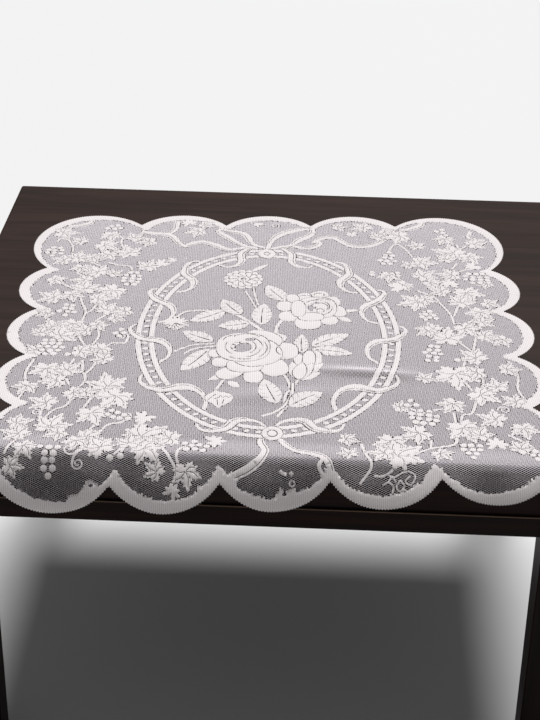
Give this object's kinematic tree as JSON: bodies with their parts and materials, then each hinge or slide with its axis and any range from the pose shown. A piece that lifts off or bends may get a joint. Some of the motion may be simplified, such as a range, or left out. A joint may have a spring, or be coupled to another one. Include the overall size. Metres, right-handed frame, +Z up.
{
  "type": "lace tablecloth on a side table",
  "caption": "Square white lace cloth with a scalloped edge, laid on a plain dark wooden side table and falling a little over its front edge.",
  "frame": {"origin": "on the floor, under the middle of the whole piece's box", "axes": "+X along the table's front edge to the right, +Y from the table's front to its back, +Z up"},
  "size_m": [0.72, 0.6642, 0.454],
  "materials": {
    "white_lace": "matt machine lace of white cotton: open net with close-woven flowers, leaves, wreath and border",
    "dark_wood_top": "dark brown stain under a satin varnish",
    "dark_wood_frame": "dark reddish-brown stain under a satin varnish"
  },
  "bodies": {
    "root": {"tablecloth": "white_lace", "table_top": "dark_wood_top", "leg_front_left": "dark_wood_frame", "leg_front_right": "dark_wood_frame", "leg_back_left": "dark_wood_frame", "leg_back_right": "dark_wood_frame", "rail_front": "dark_wood_frame", "rail_right": "dark_wood_frame", "rail_back": "dark_wood_frame", "rail_left": "dark_wood_frame"}
  },
  "joints": []
}
